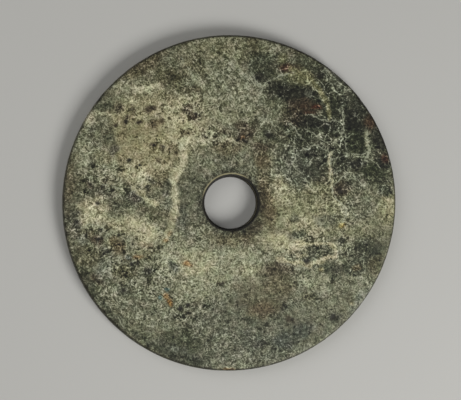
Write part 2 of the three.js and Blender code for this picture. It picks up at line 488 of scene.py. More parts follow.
    broad_veins: tuple[Vein, ...] = (
        Vein(((-31, 43), (-32.5, 35), (-33, 28), (-36, 21), (-38, 15)), 2.5, Tone.IVORY, 0.85),
        Vein(((-37, 21), (-38, 12), (-38, 4), (-38, -6)), 2.9, Tone.IVORY, 0.75),
        Vein(((-39, -4), (-41, -14), (-45, -25)), 1.8, Tone.CREAM, 0.7),
        Vein(((-42, 45), (-34, 42), (-27, 43), (-20, 43)), 2.4, Tone.IVORY, 0.7),
        Vein(((-20, 43), (-10, 43.5), (-2, 44), (4, 41)), 1.2, Tone.IVORY, 0.55),
        Vein(((-38, 19), (-43, 23), (-51, 25)), 1.4, Tone.CREAM, 0.85),
        Vein(((-64, 10), (-60, 7), (-56, 2), (-52, -1)), 1.5, Tone.CREAM, 0.85),
        Vein(((-99, -3), (-90, -9), (-79, -13), (-66, -15), (-55, -22)), 3.0, Tone.CREAM, 0.7),
        Vein(((42, 91), (50, 89), (56, 85), (60, 79), (63, 72), (67, 66), (70, 57)),
             1.3, Tone.STRAW, 0.85),
        Vein(((69, 33), (69, 24), (68.5, 12)), 1.2, Tone.CREAM, 0.85),
        Vein(((94, 49), (95, 43), (96, 35)), 1.1, Tone.PALE_GREEN, 0.8),
        Vein(((34, 17), (36, 11), (34, 3)), 1.2, Tone.IVORY, 0.6),
        Vein(((48, -29), (55, -27), (62, -26.5), (69, -28.5), (72, -33), (72.5, -38)),
             1.4, Tone.CREAM, 0.95),
        Vein(((46, -37), (50, -37.5), (53, -37)), 1.4, Tone.CREAM, 0.7),
        Vein(((72.5, -37.5), (66, -38.5), (60, -40.5), (55, -43.5), (48, -42.5), (40, -41), (32, -40)),
             1.25, Tone.CREAM, 0.9),
        Vein(((-101, -47), (-94, -60), (-84, -73), (-72, -84), (-56, -95), (-36, -105), (-20, -109)),
             2.6, Tone.DEEP_GREEN, 0.6),
    )
    threads: tuple[Vein, ...] = (
        Vein(((13, 88), (17, 83), (21, 79)), 0.5),
        Vein(((20, 74), (22, 79), (24.5, 82), (29, 84.5), (35, 87), (41, 88.5)), 0.75),
        Vein(((54, 59.3), (58, 59), (62, 57.5), (67, 55.8), (74, 56.3)), 0.85),
        Vein(((20, 58.5), (24, 57), (28, 55.5), (29, 53)), 0.6),
        Vein(((77, 64), (77.5, 57), (78, 52), (77, 47.5), (75, 44)), 0.6),
        Vein(((78, 50), (79.3, 44), (79.5, 38), (80, 33)), 0.5),
        Vein(((40, 54), (43, 50.5), (45, 47.5), (48.5, 44.5)), 0.9),
        Vein(((43.5, 44), (43, 38), (44, 33), (42.5, 27)), 0.55),
        Vein(((50, 36), (54, 38), (58, 39.8), (62, 38), (66, 36), (68.5, 33.5)), 0.6),
        Vein(((65, 41.5), (70, 41.3), (75, 42)), 0.6),
        Vein(((68.5, 34), (71, 37), (72, 41)), 0.5),
        Vein(((68.5, 34), (68.7, 27), (69, 20), (69, 12), (71, 6), (73, 2), (77, -2), (79.5, -4.5),
              (79.3, -9), (77.5, -13)), 0.75),
        Vein(((69, 28), (73, 30.5), (78, 32)), 0.5),
        Vein(((80, 35), (84, 33.5), (89, 33), (94, 34)), 0.55),
        Vein(((79, 31.5), (85, 31), (92, 31.5)), 0.35),
        Vein(((94.5, 49), (95, 42), (96, 36), (94, 32), (92.5, 28.5), (91, 26)), 0.7),
        Vein(((95, 33), (98, 29), (101, 27), (103, 24)), 0.5),
        Vein(((71.5, 13.5), (75.5, 16.5), (80, 19.5), (84.5, 19), (88, 15.5), (92, 11), (95, 8)), 0.6),
        Vein(((43, 27), (46, 22.5), (50, 18), (54, 13)), 0.5),
        Vein(((52, 50), (57, 47), (61, 44), (65, 41.5)), 0.45),
        Vein(((72, 49), (77, 47)), 0.45),
        Vein(((66, 91), (70, 87), (73, 84), (78, 79.5), (84, 75)), 0.6),
        Vein(((34, 108.5), (28, 103)), 0.45),
        Vein(((-34, 98), (-29, 91), (-24, 84), (-20, 79)), 0.45),
        Vein(((0, 95), (6, 90), (13, 84), (20, 79)), 0.6),
        Vein(((38, -42), (43, -44), (47, -46)), 0.45),
        Vein(((-90, -31), (-90, -27), (-86, -17)), 0.45),
        Vein(((-100, -17), (-96, -15), (-91, -16)), 0.45),
        Vein(((-76, -78), (-73, -84)), 0.5),
        Vein(((-86, 12), (-81, 11.5), (-76, 9)), 0.55),
        Vein(((-45, -38), (-43, -44), (-40, -49)), 0.5),
    )
    stains: tuple[Cloud, ...] = (
        Cloud(-64, -37, 4, 1.4, 5, 0.5, Tone.RUST),
        Cloud(-44, -63.5, 1.6, 2.4, 25, 0.7, Tone.RUST),
        Cloud(-41.5, -68, 1.7, 3, 25, 0.95, Tone.RUST),
        Cloud(-30, -41.5, 3.2, 1.8, -10, 0.85, Tone.RUST),
        Cloud(-44.5, -25.5, 2, 1.6, 0, 0.6, Tone.RUST),
        Cloud(-42, -21, 1.3, 2.2, -15, 0.35, Tone.RUST),
        Cloud(-57, -28, 4, 3, 0, 0.38, Tone.RED),
        Cloud(-94, -21, 1.8, 2, 0, 0.5, Tone.FAWN),
        Cloud(-51, 53, 5, 3.5, 0, 0.22, Tone.RED),
        Cloud(59, 65.5, 3.2, 1.4, 0, 0.7, Tone.RED),
        Cloud(50.5, 65.5, 3.4, 1.6, 0, 0.12, Tone.RED),
        Cloud(54, 61.5, 4, 1.4, -10, 0.25, Tone.RED),
        Cloud(38, 92, 5, 2.2, 0, 0.2, Tone.RED),
        Cloud(44, 102.5, 5, 3.4, -20, 0.6, Tone.EARTH),
        Cloud(96, 54.5, 4.5, 3.2, -30, 0.2, Tone.RED),
        Cloud(107, 30.5, 2.4, 3.4, 25, 0.35, Tone.RED),
        Cloud(103.5, 33.8, 1.9, 1, -20, 0.1, Tone.STRAW),
        Cloud(8, 44.5, 1.6, 1.3, 0, 0.5, Tone.RUST),
        Cloud(76.4, -15.6, 2, 1.6, 0, 0.8, Tone.OCHRE),
        Cloud(62, -46, 1.8, 1.5, 0, 0.25, Tone.OCHRE),
        Cloud(87, -45, 3.4, 2.4, 0, 0.15, Tone.RUST),
        Cloud(84, -70, 1.6, 1.2, 0, 0.2, Tone.OCHRE),
        Cloud(-1, -114, 4.5, 1, 0, 0.7, Tone.RUST),
        Cloud(21, -72, 8, 3, 5, 0.15, Tone.RED),
        Cloud(-43.5, -59, 2.2, 1.2, 0, 0.85, Tone.VERDIGRIS),
        Cloud(-48, -64.5, 1.7, 1.4, 0, 0.8, Tone.VERDIGRIS),
        Cloud(-69.5, -37, 2.4, 1.6, 0, 0.9, Tone.TEAL),
    )
    pits: tuple[tuple[float, float, float, float], ...] = (
        # Middle x and y, half-width and depth
        (-34.2, -72.3, 2.1, 0.5),
        (-29, -70, 1.6, 0.35),
        (-89.5, -25, 1.9, 0.45),
        (-88, -18.5, 1.7, 0.35),
        (-76, -22, 1.5, 0.3),
        (-84, -33.5, 1.9, 0.3),
        (-87, -35.5, 1.4, 0.3),
        (-98, -21.5, 1.6, 0.25),
        (-104, -14, 1.5, 0.3),
        (-103, -7, 1.3, 0.25),
        (-67, -41.8, 2.0, 0.35),
        (-63, -41.5, 1.8, 0.35),
        (-58, -45, 1.4, 0.3),
        (-55, -47, 1.6, 0.25),
        (-72.5, -59.5, 2.2, 0.3),
        (-90, -53, 1.7, 0.25),
        (-76, -2, 1.8, 0.2),
        (-90, -0.5, 1.8, 0.35),
        (-87, 10.5, 1.7, 0.35),
        (-95, 12, 1.6, 0.3),
        (-84, 15.5, 1.4, 0.25),
        (-94, 26, 1.8, 0.25),
        (-69, 28.5, 1.9, 0.35),
        (-62, 25.5, 1.5, 0.35),
        (-57, 11, 1.2, 0.25),
        (-67, 63, 1.3, 0.3),
        (-70.5, 55, 1.3, 0.3),
        (-52, 53, 1.3, 0.25),
        (-46, 38, 1.5, 0.3),
        (-24, 60.2, 1.4, 0.3),
        (-21.5, 59.2, 1.2, 0.25),
        (-18.5, 45.5, 1.2, 0.25),
        (8.2, 43, 1.7, 0.4),
        (10.2, 41.5, 1.5, 0.4),
        (25.5, 46, 2.0, 0.25),
        (62, 86, 2.0, 0.3),
        (76, 7, 1.6, 0.25),
        (52.5, -40.5, 2.0, 0.2),
        (71, -79, 2.2, 0.25),
        (42, -80, 1.5, 0.2),
        (-6, -55.5, 1.5, 0.2),
        (-40, 84, 1.9, 0.2),
    )
    scratched: Patch = Patch(-6, 88, 30, 18, -20, 1.0)
    netted: tuple[Patch, ...] = (
        Patch(62, 48, 40, 40, 0, 1.0),
        Patch(45, 82, 26, 12, -20, 0.7),
        Patch(76, 4, 14, 20, 0, 0.25),
        Patch(-55, -58, 40, 24, -20, 0.3),
        Patch(-86, 8, 22, 20, 0, 0.35),
        Patch(62, -32, 26, 12, 0, 0.3),
        Patch(-34, 18, 10, 30, 0, 0.3),
    )
    felted: tuple[Patch, ...] = (
        # Where the felt is stronger
        Patch(-62, 77, 9, 6, 0, 0.3),
        Patch(-30, 64, 15, 9, 0, 0.35),
        Patch(-12, 46, 20, 6, 0, 0.3),
        Patch(-48, 40, 9, 6, 0, 0.25),
        Patch(-62, 21, 6, 14, 40, 0.3),
        Patch(-88, 12, 15, 12, 0, 0.3),
        Patch(-97, -12, 12, 10, 0, 0.3),
        Patch(44, 50, 7, 12, 0, 0.3),
        Patch(66, 46, 12, 16, 0, 0.3),
        Patch(76, 10, 12, 14, 0, 0.3),
        Patch(30, 14, 14, 8, 0, 0.35),
        Patch(78, -12, 8, 10, 0, 0.3),
        Patch(64, -29, 20, 9, 0, 0.25),
        Patch(50, -38, 12, 6, 0, 0.25),
        Patch(-60, -50, 18, 12, 0, 0.35),
        Patch(-82, -64, 9, 7, 0, 0.25),
        Patch(-33, -72, 11, 7, 0, 0.35),
        # Where it is calmer
        Patch(-56, 42, 24, 20, 20, -0.2),
        Patch(-72, 42, 9, 13, 0, -0.15),
        Patch(-84, 70, 8, 10, 30, -0.25),
        Patch(-38, 10, 5, 34, 0, -0.1),
        Patch(22, 92, 12, 8, 0, -0.1),
        Patch(50, 66, 12, 8, 0, -0.4),
        Patch(98, 54, 7, 7, 0, -0.4),
        Patch(63, 52, 7, 5, 0, -0.45),
        Patch(87, 52, 8, 14, 0, -0.2),
        Patch(56, 24, 8, 8, 0, -0.25),
        Patch(28, -12, 12, 14, 0, -0.3),
        Patch(-26, 8, 8, 22, 0, -0.25),
        Patch(18, -68, 24, 20, 0, -0.3),
        Patch(60, -80, 30, 14, 25, -0.35),
        Patch(106, -34, 10, 20, 0, -0.35),
        Patch(-42, -96, 30, 10, -20, -0.3),
        Patch(-108, 20, 8, 30, 0, -0.2),
        Patch(10, 30, 22, 8, 0, -0.15),
    )
    speckled: tuple[Patch, ...] = (
        Patch(-44, 54, 30, 16, 0, 0.6),
        Patch(-20, 62, 20, 12, 0, 0.25),
        Patch(-62, 24, 16, 10, 0, 0.5),
        Patch(-88, 12, 16, 16, 0, 0.5),
        Patch(-72, -34, 30, 20, -20, 0.6),
        Patch(-36, -70, 22, 12, 0, 0.5),
        Patch(-6, 46, 22, 8, 0, 0.4),
        Patch(60, -40, 26, 14, 0, 0.4),
        Patch(70, 44, 30, 26, 0, 0.4),
        Patch(44, -76, 30, 12, 0, 0.3),
    )
    fewest_specks: float = 0.4  # share of the specks that the rest of the stone has
    darker_edge: float = 0.1  # how much darker the face gets towards its rim: partly weathering, partly painted shade
    edge_shade: Pair = (55, 112)  # radii between which it does
    darker_mouth: float = 0.62  # how much darker it gets next to the hole: partly wear, partly painted shade
    mouth_shade: Pair = (27, 19)  # radii between which it does
    # Each wave that bends an edge has a spacing, a reach and its part of the noise
    ragged_clouds: Waves = ((14, 3.0, 1.0), (5, 1.8, 5.0), (2.2, 0.8, 21.0))
    ragged_stains: Waves = ((3.5, 1.0, 3.0),)
    ragged_pits: Waves = ((3, 0.7, 11.0),)
    wavy_veins: Waves = ((15, 2.4, 9.0), (5, 1.5, 13.0), (2.2, 0.8, 17.0))
    wavy_threads: Waves = ((5, 0.8, 7.0),)
    vein_swell: float = 0.9  # how much a broad vein's width varies, as a share
    swell_wave: tuple[float, int, float] = (6, 2, 15.0)  # spacing, layers and part of the noise
    vein_edge: Pair = (1.3, 0.65)  # half-widths between which a broad vein fades in
    calmer_vein: float = 0.15  # how much weaker the felt is in it
    felt_range: Pair = (0.4, 1.6)  # the weakest and the strongest felt
    pit_edge: Pair = (1.3, 0.3)  # half-widths between which a pit gets its depth
    full_pit: float = 0.3  # depth from which a pit is quite dark

    def seen_from_front(self, points: np.ndarray, thickness: float) -> np.ndarray:
        """Slides points along the slant of the markings, up to the upper face.

        Args:
            points: Places in millimetres, one a row.
            thickness: The slab's thickness.

        Returns:
            Where each point's markings show on the upper face.
        """
        depth = thickness - points[:, 2:]
        moved = points.copy()
        moved[:, :2] += depth * self.slant
        return moved

    def tone(self, points: np.ndarray, front: np.ndarray) -> np.ndarray:
        """Mixes the clouds and broad veins over each other, and darkens the face towards the rim and
        next to the hole, partly as painted shade.

        Args:
            points: Places on the upper face, one a row.
            front: How much each point keeps of its markings, from 0 to 1.

        Returns:
            One linear colour with alpha for each point.
        """
        ragged = drift(points, self.ragged_clouds)
        colour = np.tile(srgb(Tone.GROUND.value), (len(points), 1))
        for cloud in self.clouds:
            share = (cloud.weight(ragged) * front)[:, None]
            colour += share * (srgb(cloud.tone.value) - colour)
        for vein, cover in zip(self.broad_veins, self.vein_covers(points)):
            colour += (vein.strength * front * cover)[:, None] * (srgb(vein.tone.value) - colour)
        # darker towards the rim and next to the hole: partly weathering and wear, partly painted shade
        radius = np.hypot(*points[:, :2].T)
        shade = 1 - self.darker_edge * smooth(radius, *self.edge_shade)
        shade *= 1 - self.darker_mouth * smooth(radius, *self.mouth_shade)
        return np.column_stack([linear(colour) * shade[:, None], np.ones(len(points))])

    def vein_covers(self, points: np.ndarray) -> list[np.ndarray]:
        """Says how much of each broad vein every point has, from 0 to 1.

        Args:
            points: Places on the upper face, one a row.

        Returns:
            One row of shares for each vein.
        """
        wavy = drift(points, self.wavy_veins)
        swell = 1 + self.vein_swell * rumple(points, *self.swell_wave)
        return [
            smooth(vein.distances(wavy)[0] / vein.half_width / swell, *self.vein_edge)
            for vein in self.broad_veins
        ]

    def lively(self, points: np.ndarray) -> np.ndarray:
        """Says how strong the felt is at each point, about 1, and calmer in the broad veins."""
        calm = 1 - self.calmer_vein * np.max(self.vein_covers(points), axis=0)
        return calm * np.clip(1 + sum(patch.weight(points) for patch in self.felted), *self.felt_range)

    def stain(self, points: np.ndarray, front: np.ndarray) -> np.ndarray:
        """Lays the small stains, with their strength as alpha.

        Args:
            points: Places on the upper face, one a row.
            front: How much each point keeps of its markings, from 0 to 1.

        Returns:
            One linear colour with alpha for each point.
        """
        ragged = drift(points, self.ragged_stains)
        colour = np.tile(srgb(Tone.RUST.value), (len(points), 1))
        cover = np.zeros(len(points))
        for cloud in self.stains:
            share = cloud.weight(ragged) * front
            blend = (share / np.maximum(cover + share, TINY))[:, None]
            colour += blend * (srgb(cloud.tone.value) - colour)
            cover = np.maximum(cover, share)
        return np.column_stack([linear(colour), cover])

    def thread_fields(self, points: np.ndarray) -> tuple[np.ndarray, np.ndarray]:
        """Measures the way to the nearest thread, in half-widths of that thread.

        Args:
            points: Places on the upper face, one a row.

        Returns:
            The distance, and the same with a sign for the side it lies on.
        """
        wavy = drift(points, self.wavy_threads)
        near = np.full(len(points), np.inf)
        side = np.full(len(points), np.inf)
        for thread in self.threads:
            gap, signed = (value / thread.half_width for value in thread.distances(wavy))
            closer = gap < near
            near = np.where(closer, gap, near)
            side = np.where(closer, signed, side)
        return np.minimum(near, OUT_OF_SIGHT), np.clip(side, -OUT_OF_SIGHT, OUT_OF_SIGHT)

    def pit_depth(self, points: np.ndarray) -> np.ndarray:
        """Measures the stone's small pits.

        Args:
            points: Places on the upper face, one a row.

        Returns:
            How deep the pits are at each point, in millimetres.
        """
        ragged = drift(points, self.ragged_pits)
        depth = np.zeros(len(points))
        for x, y, half_width, deepest in self.pits:
            away = np.hypot(*(ragged[:, :2] - (x, y)).T) / half_width
            depth = np.maximum(depth, deepest * smooth(away, *self.pit_edge))
        return depth


@dataclass
class Ring:
    """The worked disc: turned profile, drilled hole, wear and losses, in millimetres."""

    diameter: float
    thickness: float
    out_of_round: float = 1.6
    long_axis_deg: float = 61
    dome_fall: float = 0.9
    front_arris: float = 2.2
    back_arris: float = 1.8
    rim_bulge: float = 0.5
    skin: float = 0.06  # how far the worn surface lies inside the solid
    mouth_diameter: float = 38.3
    ledge_diameter: float = 37.5
    ledge_depth: float = 7.2
    lower_diameter: float = 36.3
    waist_diameter: float = 35.3
    waist_height: float = 1.5
    back_diameter: float = 36.8
    lip: float = 0.45
    lip_round: Pair = (0.3, 0.25)  # how far along and down the lip's middle lies, in lips
    # The shallow dish worn into the lip
    wear_deg: float = -42
    wear_length: float = 20
    wear_width: float = 8
    wear_depth: float = 0.6
    # How finely each stretch of the profile is divided
    steps_round: int = 540
    steps_face: int = 84
    steps_fine: int = 7
    fine_face: float = 2.1  # width of the finely divided band next to the mouth
    steps_front_arris: int = 7
    steps_rim: int = 2
    steps_back_arris: int = 5
    steps_back: int = 43
    steps_break_out: int = 3
    steps_lower_bore: int = 5
    steps_ledge: int = 2
    steps_upper_bore: int = 9
    chips: tuple[Chip, ...] = (
        Chip(49.5, 20, 2.2, 32),
        Chip(139.5, 11, 2.2, 30),
        Chip(37, 7, 1.4, 36),
        Chip(303, 8, 0.9, 40),
        Chip(171, 6, 0.8, 40),
    )
    chip_ripple: float = 0.3  # how much a chip's surface ripples
    ripple_wave: tuple[float, int] = (4, 3)  # the ripples' spacing, and how many layers they have
    ripple_reach: float = 0.5  # how far past the scoop's surface they are looked for
    # Where the upper and lower parts, the pits and the plainer stone set in, and where they are
    # full, as shares of the thickness
    upper_part: Pair = (0.6, 0.9)
    lower_part: Pair = (0.4, 0.1)
    pitted_part: Pair = (0.8, 0.9)
    plainer_part: Pair = (0.6, 0.0)
    # Each unevenness has a depth, a spacing, how many layers it has and its part of the noise
    face_sags: Waves = ((0.07, 38, 3, 2.0), (0.03, 5, 3, 4.0))
    most_sag: float = 0.3  # how far the faces may sag in all
    back_sag: float = 0.6  # share of the sag that the underside has
    rim_nibbles: Waves = ((1.0, 7, 3, 6.0), (0.6, 2.6, 2, 8.0))
    nibbled_from: float = 1.0  # how far inside the front arris they begin
    nibbled_rim: float = 0.12  # how deep they go all over the rim
    nibbled_arris: float = 0.25  # how much deeper they go on its arrises
    arris_reach: Pair = (2.5, 5.0)  # ways from mid-thickness between which the arrises set in
    bore_wobble: tuple[float, ...] = (0.05, 8, 2, 10.0)
    bore_flakes: tuple[float, ...] = (0.7, 3, 2, 12.0)  # where the drill broke out
    bore_edge: Pair = (0.2, -0.1)  # past the mouth, where the bore's wobble begins
    bore_finish: Pair = (0.1, -0.2)  # and where the drill's rings begin
    # Painted shade on the rim, where its side turns from the light, and round the mouth, where the
    # hole's wall lies in shade; each arc is between two cosines from its middle
    shade_ragged: tuple[float, ...] = (0.5, 4, 2, 14.0)  # of its edge on the rim
    rim_shade: float = 0.8
    rim_shade_reach: Pair = (2.1, 0.5)  # how far inside the rim it begins and is full
    wall_from_top: Pair = (1.5, 3.5)  # how far below the face the rim's wall begins
    wall_spared: float = 0.6  # share of the painted shade that the wall is spared
    lip_shade: float = 0.95
    lip_shade_width: float = 0.65
    lip_shade_edge: float = 0.3  # how soft its edge is
    shaded_deg: float = 195  # where the painted shade lies widest round the mouth
    shaded_more: float = 0.5  # how much wider it is there
    shaded_arc: Pair = (0.5, 0.85)
    # Painted highlights on the lip, where it catches the light, and on the edges inside the hole
    highlight_deg: float = 112
    highlight_arc: Pair = (0.45, 0.8)
    lip_highlight: float = 0.85
    highlight_outside: Pair = (0.45, 0.75)  # past the mouth, where the bright line begins
    highlight_inside: Pair = (1.6, 1.1)  # and where it ends
    ledge_highlight: float = 0.5  # how bright the edges in the hole's right side are
    ledge_arc: Pair = (0.4, 0.8)
    ledge_near: float = 0.3  # how far up and down such an edge shows
    stone: Stone = field(default_factory=Stone)

    @property
    def edge(self) -> float:
        """Radius of the rim above and below its bulge."""
        return self.diameter / 2 - self.skin - self.rim_bulge

    @property
    def rim_top(self) -> float:
        """Height of the upper face where it meets the rim."""
        return self.thickness - self.dome_fall

    @property
    def mouth(self) -> float:
        """Radius of the hole at the upper face."""
        return self.mouth_diameter / 2

    def arc(self, radius: float, height: float, size: float, start: int, steps: int) -> list:
        """Makes a quarter-round of the profile.

        Args:
            radius: Radius of the arc's middle.
            height: Height of the arc's middle.
            size: The arc's own radius.
            start: Where it starts, in degrees from outwards.
            steps: How many parts it has.

        Returns:
            Pairs of radius and height.
        """
        angles = [math.radians(start - 90 * i / steps) for i in range(steps + 1)]
        return [(radius + size * math.cos(a), height + size * math.sin(a)) for a in angles]

    def line(self, start: tuple, end: tuple, steps: int) -> list:
        """Divides a straight part of the profile, without its two ends.

        Args:
            start: Radius and height where it starts.
            end: Radius and height where it ends.
            steps: How many parts it has.

        Returns:
            Pairs of radius and height.
        """
        return [tuple(np.add(start, np.subtract(end, start) * i / steps)) for i in range(1, steps)]

    def face(self) -> list:
        """Draws the domed upper face, from the lip to the front arris.

        Returns:
            Pairs of radius and height.
        """
        lip_radius = self.mouth + self.lip
        face_radius = self.edge - self.front_arris
        fine = self.fine_face / self.steps_fine
        radii = [lip_radius + i * fine for i in range(self.steps_fine)]
        start = lip_radius + self.fine_face
        radii += [start + (face_radius - start) * i / self.steps_face for i in range(self.steps_face)]
        shares = [(radius - lip_radius) / (face_radius - lip_radius) for radius in radii]
        return [(r, self.thickness - self.dome_fall * share * share) for r, share in zip(radii, shares)]

    def profile(self) -> list:
        """Draws the section of the ring, from the mouth outwards and back through the hole.

        Returns:
            Pairs of radius and height.
        """
        along, down = self.lip_round
        front, back = self.front_arris, self.back_arris
        top = self.rim_top - front
        crown = (self.edge + self.rim_bulge, (back + top) / 2)
        points = [(self.mouth, self.thickness - self.lip)]
        points += [(self.mouth + self.lip * along, self.thickness - self.lip * down)]
        points += self.face()
        points += self.arc(self.edge - front, top, front, 90, self.steps_front_arris)
        points += self.line((self.edge, top), crown, self.steps_rim) + [crown]
        points += self.line(crown, (self.edge, back), self.steps_rim)
        points += self.arc(self.edge - back, back, back, 0, self.steps_back_arris)
        way_out = (self.back_diameter / 2, 0.0)
        points += self.line((self.edge - back, 0.0), way_out, self.steps_back) + [way_out]
        waist = (self.waist_diameter / 2, self.waist_height)
        points += self.line(way_out, waist, self.steps_break_out) + [waist]
        ledge_height = self.thickness - self.ledge_depth
        inner = (self.lower_diameter / 2, ledge_height)
        outer = (self.ledge_diameter / 2, ledge_height)
        points += self.line(waist, inner, self.steps_lower_bore) + [inner]
        points += self.line(inner, outer, self.steps_ledge) + [outer]
        points += self.line(outer, points[0], self.steps_upper_bore)
        return points

    def spin(self) -> bmesh.types.BMesh:
        """Spins the profile round the axis of the hole.

        Returns:
            The closed ring, in millimetres.
        """
        ring = bmesh.new()
        verts = [ring.verts.new((radius, 0, height)) for radius, height in self.profile()]
        edges = [ring.edges.new(pair) for pair in zip(verts, verts[1:] + verts[:1])]
        bmesh.ops.spin(
            ring,
            geom=verts + edges,
            cent=(0, 0, 0),
            axis=(0, 0, 1),
            angle=math.tau,
            steps=self.steps_round,
            use_merge=True,
        )
        bmesh.ops.remove_doubles(ring, verts=ring.verts, dist=0.001)
        bmesh.ops.recalc_face_normals(ring, faces=ring.faces)
        return ring

    def raised(self, points: np.ndarray, start: float, end: float) -> np.ndarray:
        """Eases from 0 to 1 between two heights, given as shares of the thickness."""
        return smooth(points[:, 2], self.thickness * start, self.thickness * end)

    def towards(self, points: np.ndarray, deg: float) -> np.ndarray:
        """Returns the cosine of the angle between each point's direction and another."""
        turn = math.radians(deg)
        return points[:, :2] @ (math.cos(turn), math.sin(turn)) / np.hypot(*points[:, :2].T)

    def stretched(self, points: np.ndarray) -> np.ndarray:
        """Makes the outline slightly longer one way, and leaves the hole round.

        Args:
            points: The ring's points, one a row.

        Returns:
            The moved points.
        """
        turn = math.radians(self.long_axis_deg)
        along = np.array((math.cos(turn), math.sin(turn)))
        across = np.array((-math.sin(turn), math.cos(turn)))
        radius = np.hypot(*points[:, :2].T)
        share = smooth(radius, self.mouth, self.diameter / 2)
        stretch = share * self.out_of_round / 2 / self.diameter
        flat = points[:, :2]
        moved = points.copy()
        moved[:, :2] += (stretch * (flat @ along))[:, None] * along
        moved[:, :2] -= (stretch * (flat @ across))[:, None] * across
        return moved

    def uneven(self, points: np.ndarray) -> np.ndarray:
        """Gives the hand-ground faces, the rim and the bore their unevenness, into the stone.

        Args:
            points: The ring's points, one a row.

        Returns:
            The moved points.
        """
        moved = points.copy()
        radius = np.hypot(*points[:, :2].T)
        outward = points[:, :2] / radius[:, None]
        upper = self.raised(points, *self.upper_part)
        lower = self.raised(points, *self.lower_part)
        sag = sum(depth * (1 + rumple(points, *wave)) for depth, *wave in self.face_sags)
        moved[:, 2] += np.clip(sag, 0, self.most_sag) * (self.back_sag * lower - upper)
        rim = smooth(radius, self.edge - self.front_arris - self.nibbled_from, self.edge)
        nibble = sum(depth * np.abs(rumple(points, *wave)) for depth, *wave in self.rim_nibbles)
        arris = smooth(np.abs(points[:, 2] - self.thickness / 2), *self.arris_reach)
        deep = self.nibbled_rim + self.nibbled_arris * arris
        moved[:, :2] -= outward * (rim * nibble * deep)[:, None]
        start, end = self.bore_edge
        bore = smooth(radius, self.mouth + start, self.mouth + end)
        wobble, *wobble_wave = self.bore_wobble
        flake, *flake_wave = self.bore_flakes
        flaked = smooth(points[:, 2], self.waist_height, 0) * np.clip(rumple(points, *flake_wave), 0, 1)
        hollow = wobble * (1 + rumple(points, *wobble_wave)) + flake * flaked
        moved[:, :2] += outward * (bore * hollow)[:, None]
        return moved

    def hollow_radius(self, chord: float, depth: float) -> float:
        """Returns the radius of a round hollow with the given chord and depth."""
        return chord * chord / (8 * depth) + depth / 2

    def chipped(self, points: np.ndarray) -> np.ndarray:
        """Scoops the losses out of the front arris with balls whose surface is rippled.

        Args:
            points: The ring's points, one a row.

        Returns:
            The moved points.
        """
        moved = points.copy()
        for chip in self.chips:
            size = self.hollow_radius(chip.chord, chip.inward)
            lean, turn = math.radians(chip.lean), math.radians(chip.deg)
            out = self.diameter / 2 - chip.inward + size * math.cos(lean)
            up = self.rim_top - self.front_arris + size * math.sin(lean)
            centre = np.array((out * math.cos(turn), out * math.sin(turn), up))
            away = moved - centre
            gap = np.linalg.norm(away, axis=1)
            inside = gap < size + self.ripple_reach
            ripple = self.chip_ripple * rumple(moved[inside], *self.ripple_wave, chip.deg)
            reach = np.maximum(gap[inside], size + ripple)
            moved[inside] = centre + away[inside] * (reach / gap[inside])[:, None]
        return moved

    def dished(self, points: np.ndarray) -> np.ndarray:
        """Wears the shallow dish into the lip of the hole.

        Args:
            points: The ring's points, one a row.

        Returns:
            The moved points.
        """
        width = self.hollow_radius(self.wear_width, self.wear_depth)
        length = width * self.wear_length / self.wear_width
        turn = math.radians(self.wear_deg)
        along = points[:, :2] @ (-math.sin(turn), math.cos(turn)) / length
        across = (points[:, :2] @ (math.cos(turn), math.sin(turn)) - self.mouth) / width
        under = np.sqrt(np.clip(1 - along**2 - across**2, 0, 1))
        floor = self.thickness - self.wear_depth + width * (1 - under)
        worn = (points[:, 2] > self.thickness / 2) & (along**2 + across**2 < 1)
        moved = points.copy()
        moved[:, 2] = np.where(worn, np.minimum(points[:, 2], floor), points[:, 2])
        return moved

    def pitted(self, points: np.ndarray) -> np.ndarray:
        """Sinks the stone's pits into the upper face.

        Args:
            points: The ring's points, one a row.

        Returns:
            The moved points.
        """
        moved = points.copy()
        moved[:, 2] -= self.stone.pit_depth(points) * self.raised(points, *self.pitted_part)
        return moved

    def painted_shade(self, points: np.ndarray) -> np.ndarray:
        """Says where shade is painted: on the rim, most at its arrises, and round the mouth.

        Args:
            points: The ring's points, one a row.

        Returns:
            One value from 0 to 1 for each point.
        """
        radius = np.hypot(*points[:, :2].T)
        depth, *wave = self.shade_ragged
        inwards = self.edge - radius - depth * rumple(points, *wave)
        wall = smooth(self.rim_top - points[:, 2], *self.wall_from_top)
        rim = smooth(inwards, *self.rim_shade_reach) * (1 - self.wall_spared * wall)
        wider = self.shaded_more * smooth(self.towards(points, self.shaded_deg), *self.shaded_arc)
        past = radius - self.mouth - self.lip_shade_width - wider
        mouth = smooth(past, 0, -self.lip_shade_edge)
        return np.clip(self.rim_shade * rim + self.lip_shade * mouth, 0, 1)

    def painted_highlight(self, points: np.ndarray) -> np.ndarray:
        """Says where highlights are painted: on the lip, where it catches the light, and on the edges
        inside the hole.

        Args:
            points: The ring's points, one a row.

        Returns:
            One value from 0 to 1 for each point.
        """
        radius = np.hypot(*points[:, :2].T)
        past = radius - self.mouth
        band = smooth(past, *self.highlight_outside) * smooth(past, *self.highlight_inside)
        lip = self.lip_highlight * band * smooth(self.towards(points, self.highlight_deg), *self.highlight_arc)
        steps = np.array([self.waist_height, self.thickness - self.ledge_depth])
        near = np.min(np.abs(points[:, 2:] - steps), axis=1) < self.ledge_near
        inside = radius < (self.lower_diameter + self.ledge_diameter) / 4
        ledges = (inside & near) * smooth(self.towards(points, 0), *self.ledge_arc)
        return lip + self.ledge_highlight * ledges

